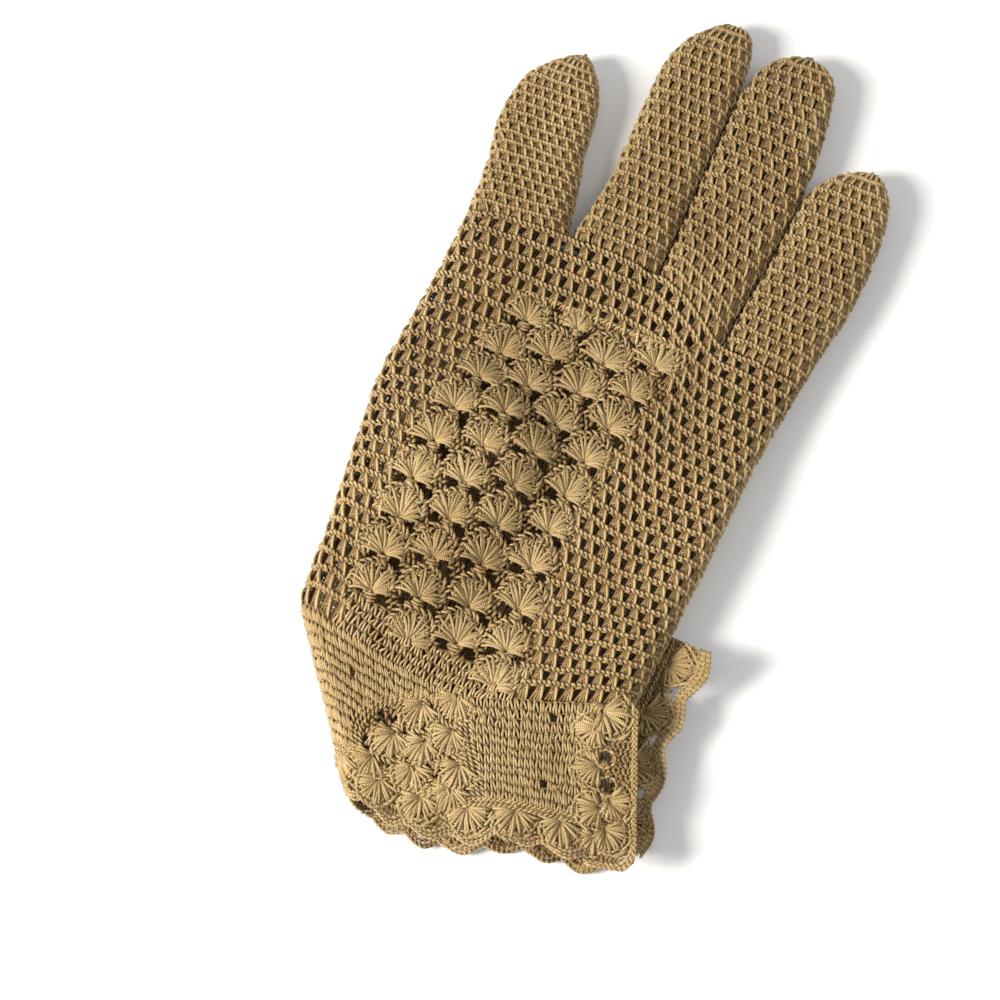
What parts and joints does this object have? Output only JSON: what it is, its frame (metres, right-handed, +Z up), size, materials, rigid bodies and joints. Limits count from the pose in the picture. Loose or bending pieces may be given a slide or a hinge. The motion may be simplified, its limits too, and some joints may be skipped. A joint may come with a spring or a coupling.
{
  "type": "crochet glove",
  "caption": "Crocheted cotton dress glove lying flat, with open net fingers, a shell-stitch panel on the back and a scalloped, vented gauntlet cuff.",
  "frame": {"origin": "middle of the whole glove as seen from above, on the surface that it lies on", "axes": "+Y to the fingertips, +Z up from the surface, +X to the little finger"},
  "size_m": [0.1032, 0.2232, 0.018],
  "materials": {
    "net": "matte",
    "shells": "matte",
    "close_stitch": "matte"
  },
  "bodies": {
    "root": {"hand": "net", "shell_panel": "shells", "index_finger": "net", "middle_finger": "net", "ring_finger": "net", "little_finger": "net", "thumb": "net", "cuff_band": "close_stitch", "cuff_insert": "shells", "hem_edging": "shells", "vent_edging_back": "shells", "vent_edging_palm": "shells"}
  },
  "joints": []
}
